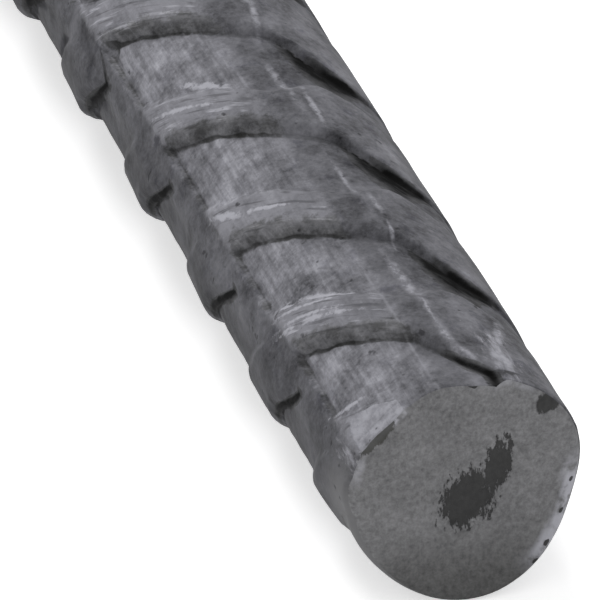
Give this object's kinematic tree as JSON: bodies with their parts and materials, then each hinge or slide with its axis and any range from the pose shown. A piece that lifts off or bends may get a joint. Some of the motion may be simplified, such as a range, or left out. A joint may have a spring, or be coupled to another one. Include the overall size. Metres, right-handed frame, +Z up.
{
  "type": "rebar",
  "caption": "Straight length of ribbed steel reinforcing bar with plain sheared ends and two seam lands, cast into concrete to carry its tension.",
  "frame": {"origin": "under the middle of the bar's length, on the floor that it lies on", "axes": "+X along the bar, towards the sheared end that the picture shows; +Z up"},
  "size_m": [0.6, 0.026, 0.026],
  "materials": {
    "mill_scale": "hot-rolled steel under dark grey mill scale, lightly scratched"
  },
  "bodies": {
    "root": {"rebar": "mill_scale"}
  },
  "joints": []
}
